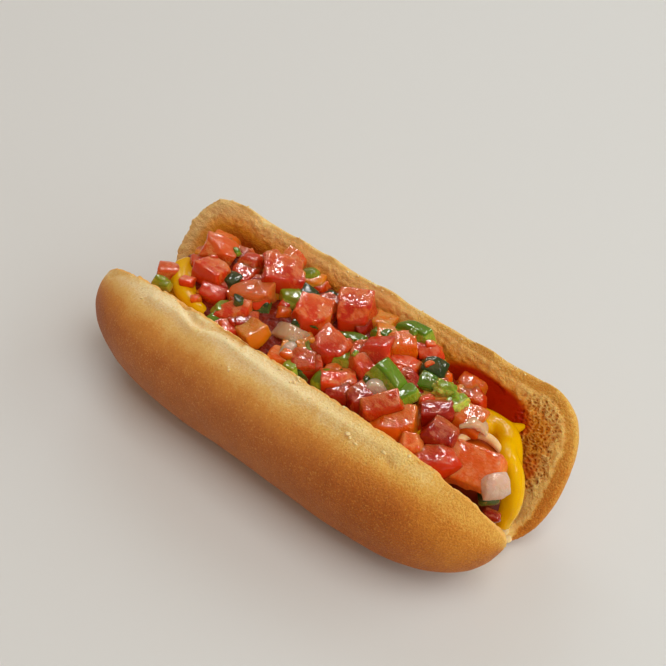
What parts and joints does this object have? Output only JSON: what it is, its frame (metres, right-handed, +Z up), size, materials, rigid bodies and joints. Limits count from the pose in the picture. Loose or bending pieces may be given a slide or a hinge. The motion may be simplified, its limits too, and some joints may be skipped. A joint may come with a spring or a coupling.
{
  "type": "hot dog",
  "caption": "Hot dog: a frankfurter with a wave of mustard in a soft side-split bun, under a heap of diced tomato, chilli and onion salsa.",
  "frame": {"origin": "middle of the bun's footprint, on the surface it stands on", "axes": "+X along the bun, -Y the side of its domed half, +Y the side of its flat half, +Z up"},
  "size_m": [0.153, 0.0636, 0.0458],
  "materials": {
    "bun": "soft golden crust, pale open crumb on the cut faces",
    "frankfurter": "glossy dark red-brown skin",
    "salsa": "wet, glossy juice between the dice",
    "mustard": "smooth, glossy bright yellow",
    "tomato": "wet, slightly translucent flesh",
    "chilli": "waxy green skin",
    "onion": "wet, translucent white",
    "sauce": "thin glossy smears"
  },
  "bodies": {
    "root": {"bun": "bun", "sausage": "frankfurter", "salsa": "salsa"}
  },
  "joints": []
}
